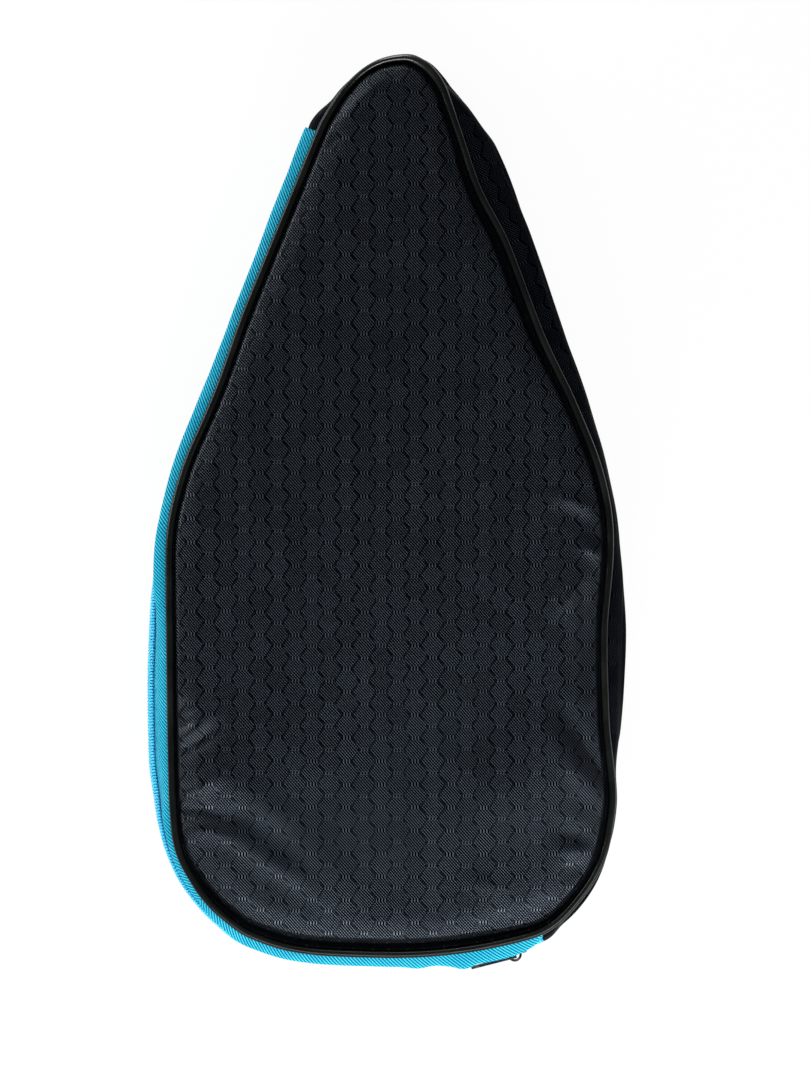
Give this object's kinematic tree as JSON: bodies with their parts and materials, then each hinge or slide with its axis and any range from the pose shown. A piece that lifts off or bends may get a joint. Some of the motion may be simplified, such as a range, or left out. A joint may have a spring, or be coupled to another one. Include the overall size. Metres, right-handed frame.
{
  "type": "paddle case",
  "caption": "Soft padded teardrop case for a racket-sport paddle, with piped seams, a fabric spine and a coil zipper round one side and the bottom that frees a folding front flap.",
  "frame": {"origin": "on the flat outer face of the back panel, midway along the seam outline and on its centre line", "axes": "+Y towards the pointed tip, +Z out of the front panel, +X towards the fabric spine's side"},
  "size_m": [0.239, 0.4624, 0.0443],
  "materials": {
    "ripstop": "woven hexagon ripstop, soft sheen",
    "foam": "closed-cell foam sheet",
    "lining": "plain woven nylon",
    "piping": "glossy black vinyl",
    "binding": "grosgrain tape",
    "zipper_tape": "herringbone woven tape",
    "zipper_coil": "nylon monofilament coil",
    "slider_metal": "black lacquered zinc"
  },
  "bodies": {
    "case": {"back_panel": "ripstop", "front_panel": "ripstop", "spine_gusset": "ripstop", "back_padding": "foam", "front_padding": "foam", "back_lining": "lining", "front_lining": "lining", "spine_lining": "lining", "back_piping": "piping", "front_piping": "piping", "back_binding": "binding", "front_binding": "binding", "zipper_tape_back": "zipper_tape", "zipper_tape_tail": "zipper_tape", "zipper_coil_back": "zipper_coil", "zipper_coil_tail": "zipper_coil"},
    "flap": {"flap_panel": "ripstop", "flap_padding": "foam", "flap_lining": "lining", "flap_piping": "piping", "flap_binding": "binding", "zipper_tape_front": "zipper_tape", "zipper_coil_front": "zipper_coil"},
    "slider": {"slider_body": "slider_metal"},
    "pull": {"pull_tab": "slider_metal"}
  },
  "joints": [
    {"name": "flap_fold", "type": "hinge", "parent": "case", "child": "flap", "pos_m": [0.05161, -0.22053, 0.0443], "axis": [-0.2042, 0.9789, 0], "range_deg": [0, 115]},
    {"name": "slider_travel", "type": "hinge", "parent": "case", "child": "slider", "pos_m": [0, 0.024, 0.0208], "axis": [0, 0, -1], "range_deg": [0, 28.5]},
    {"name": "pull_swing", "type": "hinge", "parent": "slider", "child": "pull", "pos_m": [0.06372, -0.22766, 0.0208], "axis": [0, 0, 1], "range_deg": [0, 170]}
  ]
}
